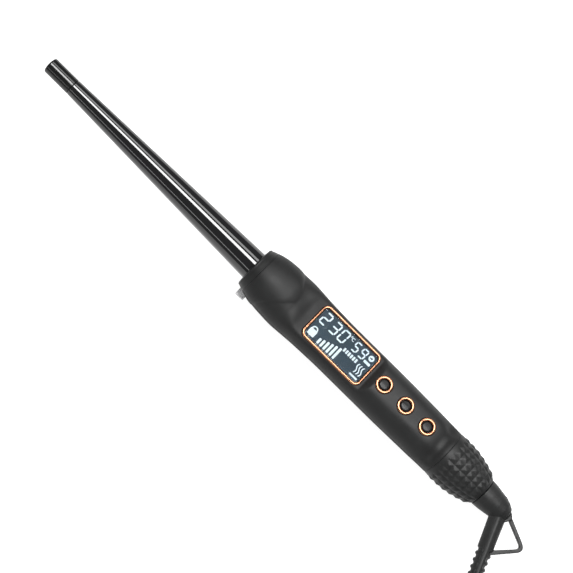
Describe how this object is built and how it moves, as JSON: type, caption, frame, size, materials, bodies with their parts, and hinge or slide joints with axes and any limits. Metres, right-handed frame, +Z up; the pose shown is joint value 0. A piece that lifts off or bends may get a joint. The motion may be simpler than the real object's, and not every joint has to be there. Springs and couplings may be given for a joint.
{
  "type": "curling wand",
  "caption": "Tapered heated hair-curling wand with a display, three buttons, a folding stand and a swivel mains cord.",
  "frame": {"origin": "on the ground under the middle of the wand, without its cord, guard and plug", "axes": "+X from the cool tip to the cord end, +Z up, towards the display; the wand rests on its stand and rear grip, tilted 4.2 degrees"},
  "size_m": [0.5133, 0.0979, 0.0426],
  "materials": {
    "soft_touch_black": "soft-touch matt",
    "steel": "plain",
    "grip_black": "diamond-textured satin",
    "nose_black": "matt",
    "barrel_coating": "high gloss ceramic coating",
    "tip_plastic": "satin",
    "insulator": "moulded",
    "aluminium": "extruded",
    "heater_ceramic": "fired",
    "component_black": "moulded",
    "lead_white": "sleeved",
    "lead_red": "sleeved",
    "rose_gold": "polished rose gold plating",
    "display_glass": "polished window",
    "lcd": "negative liquid crystal",
    "light_guide": "diffusing",
    "board_green": "lacquered",
    "capacitor_yellow": "moulded",
    "brass": "plain",
    "cord_rubber": "satin",
    "tie_black": "woven",
    "plug_black": "satin",
    "plug_metal": "nickel plated",
    "guard_rubber": "satin",
    "stand_grey": "matt",
    "button_black": "gloss"
  },
  "bodies": {
    "handle": {"handle_top_shell": "soft_touch_black", "handle_bottom_shell": "soft_touch_black", "shell_screw_front": "steel", "shell_screw_rear": "steel", "rear_grip": "grip_black", "nose_ring": "nose_black", "barrel": "barrel_coating", "cool_tip": "tip_plastic", "barrel_holder": "insulator", "heater_clamp_upper": "aluminium", "heater_clamp_lower": "aluminium", "ceramic_heater": "heater_ceramic", "temperature_sensor": "component_black", "heater_lead_live": "lead_white", "heater_lead_neutral": "lead_white", "sensor_lead": "lead_red", "supply_lead_live": "lead_red", "supply_lead_neutral": "lead_white", "display_bezel": "rose_gold", "display_window": "display_glass", "lcd_panel": "lcd", "backlight": "light_guide", "control_board": "board_green", "microcontroller": "component_black", "triac": "component_black", "film_capacitor": "capacitor_yellow", "smoothing_capacitor": "aluminium", "button_ring_front": "rose_gold", "button_ring_middle": "rose_gold", "button_ring_rear": "rose_gold", "switch_front": "component_black", "switch_middle": "component_black", "switch_rear": "component_black", "contact_block": "insulator", "contact_inner": "brass", "contact_outer": "brass", "stand_pin": "steel", "cord": "cord_rubber", "cord_hank": "cord_rubber", "cord_tie": "tie_black", "cord_tail": "cord_rubber", "plug_body": "plug_black", "plug_pin_left": "plug_metal", "plug_pin_right": "plug_metal"},
    "swivel": {"swivel_spindle": "component_black", "slip_ring_inner": "brass", "slip_ring_outer": "brass", "cord_guard": "guard_rubber"},
    "stand": {"stand": "stand_grey"},
    "button_front": {"button_front": "button_black"},
    "button_middle": {"button_middle": "button_black"},
    "button_rear": {"button_rear": "button_black"}
  },
  "joints": [
    {"name": "button_front_press", "type": "slide", "parent": "handle", "child": "button_front", "axis": [-0.0732, 0, -0.9973], "range_m": [0, 0.0005], "stiffness_N_per_m": 1200, "springref_m": -0.0005},
    {"name": "button_middle_press", "type": "slide", "parent": "handle", "child": "button_middle", "axis": [-0.0732, 0, -0.9973], "range_m": [0, 0.0005], "stiffness_N_per_m": 1200, "springref_m": -0.0005},
    {"name": "button_rear_press", "type": "slide", "parent": "handle", "child": "button_rear", "axis": [-0.0732, 0, -0.9973], "range_m": [0, 0.0005], "stiffness_N_per_m": 1200, "springref_m": -0.0005},
    {"name": "stand_fold", "type": "hinge", "parent": "handle", "child": "stand", "pos_m": [-0.00679, 0, 0.00749], "axis": [0, -1, 0], "range_deg": [0, 85]},
    {"name": "cord_swivel", "type": "hinge", "parent": "handle", "child": "swivel", "pos_m": [0.15651, 0, 0.01375], "axis": [-0.9973, 0, 0.0732], "continuous": true, "deforming": ["cord"]}
  ]
}
